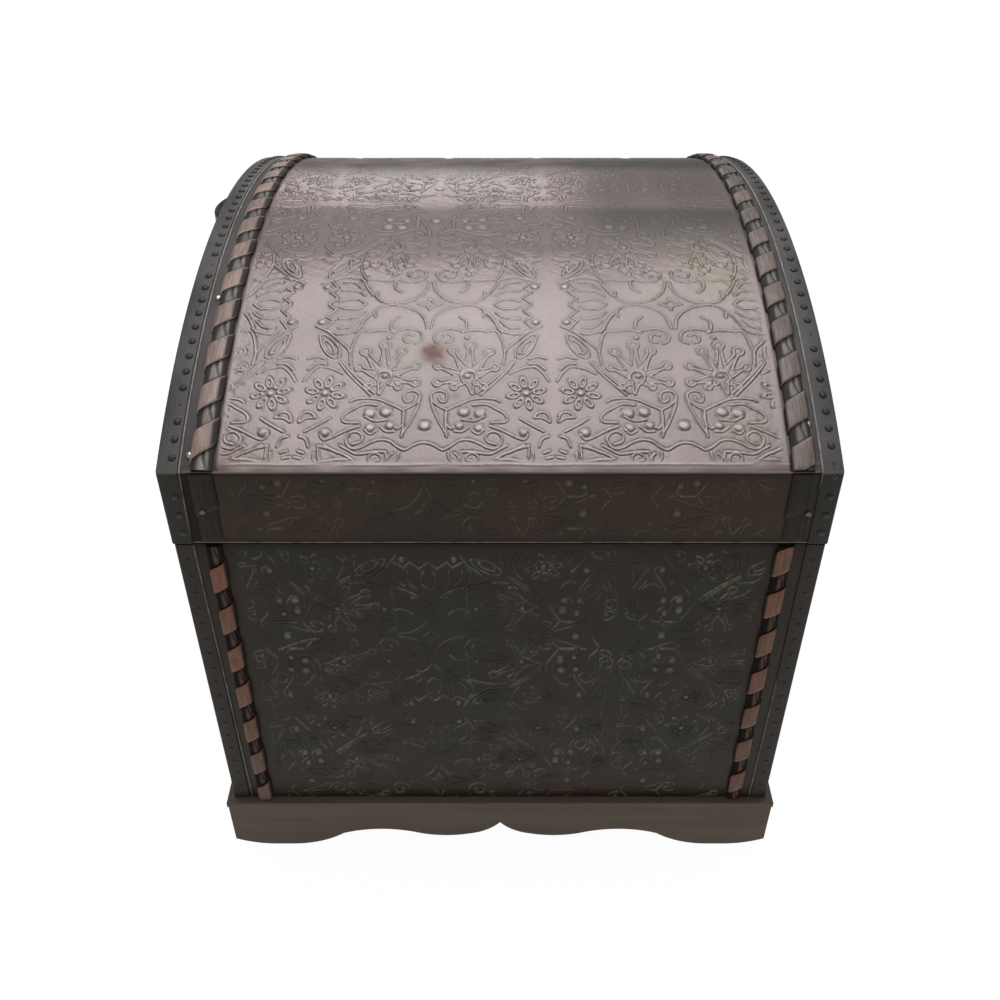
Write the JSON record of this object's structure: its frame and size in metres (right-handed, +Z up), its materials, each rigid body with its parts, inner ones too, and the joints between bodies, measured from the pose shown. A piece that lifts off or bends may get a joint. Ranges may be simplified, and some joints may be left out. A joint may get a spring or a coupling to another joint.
{
  "type": "dome top trunk",
  "caption": "Small domed trunk in embossed dark leathercloth with studded end strips, whipped lace edging, a hinged lid on a slotted stay and a scalloped wooden plinth.",
  "frame": {"origin": "middle of the footprint on the floor", "axes": "+Z up, the front faces -Y, +X to the right seen from the front"},
  "size_m": [0.4784, 0.54, 0.4942],
  "materials": {
    "case_wood": "planed poplar boards, unfinished",
    "plinth_wood": "dark brown stain under dull wax",
    "embossed_cover": "dark embossed leathercloth, satin, worn",
    "strip_leather": "dark strip with a row of small domed studs",
    "lace_leather": "smooth copper brown lace, satin",
    "lace_core": "thin brown cord",
    "lining_paper": "plain buff lining paper",
    "hinge_steel": "dull plated steel",
    "stay_steel": "dull plated steel",
    "pad_rubber": "matt black pads",
    "handle_leather": "smooth black strap",
    "cap_steel": "bright plated end caps"
  },
  "bodies": {
    "trunk_body": {"back_cover": "embossed_cover", "back_panel": "case_wood", "body_lining": "lining_paper", "bottom_panel": "case_wood", "corner_blocks": "case_wood", "corner_strip_back_left": "strip_leather", "corner_strip_back_right": "strip_leather", "corner_strip_front_left": "strip_leather", "corner_strip_front_right": "strip_leather", "front_cover": "embossed_cover", "front_lace_core_left": "lace_core", "front_lace_core_right": "lace_core", "front_lace_left": "lace_leather", "front_lace_right": "lace_leather", "front_panel": "case_wood", "hinge_leaf_lower_left": "hinge_steel", "hinge_leaf_lower_right": "hinge_steel", "hinge_pins": "hinge_steel", "left_cover": "embossed_cover", "left_panel": "case_wood", "plinth_back": "plinth_wood", "plinth_front": "plinth_wood", "plinth_left": "plinth_wood", "plinth_right": "plinth_wood", "right_cover": "embossed_cover", "right_panel": "case_wood", "rim_pads": "pad_rubber", "stay_body_plate": "stay_steel", "stay_stud": "stay_steel"},
    "lid": {"dome_lace_core_left": "lace_core", "dome_lace_core_right": "lace_core", "dome_lace_left": "lace_leather", "dome_lace_right": "lace_leather", "hinge_leaf_upper_left": "hinge_steel", "hinge_leaf_upper_right": "hinge_steel", "lace_tabs": "lace_leather", "lid_back_cover": "embossed_cover", "lid_back_rail": "case_wood", "lid_front_cover": "embossed_cover", "lid_front_rail": "case_wood", "lid_left_cover": "embossed_cover", "lid_left_gable": "case_wood", "lid_lining": "lining_paper", "lid_right_cover": "embossed_cover", "lid_right_gable": "case_wood", "lid_strip_left": "strip_leather", "lid_strip_right": "strip_leather", "lid_top_board": "case_wood", "lid_top_cover": "embossed_cover", "side_handle": "handle_leather", "side_handle_caps": "cap_steel", "stay_lid_plate": "stay_steel", "stay_pivot_pin": "stay_steel"},
    "lid_stay": {"stay_arm": "stay_steel"}
  },
  "joints": [
    {"name": "lid_hinge", "type": "hinge", "parent": "trunk_body", "child": "lid", "pos_m": [0, 0.2675, 0.355], "axis": [-1, 0, 0], "range_deg": [0, 95]},
    {"name": "stay_pivot", "type": "hinge", "parent": "lid", "child": "lid_stay", "pos_m": [0.2117, 0.17876, 0.37], "axis": [-1, 0, 0], "range_deg": [-48, 0]}
  ],
  "couplings": [
    {"joint": "stay_pivot", "follows": "lid_hinge", "ratio": -0.5}
  ]
}
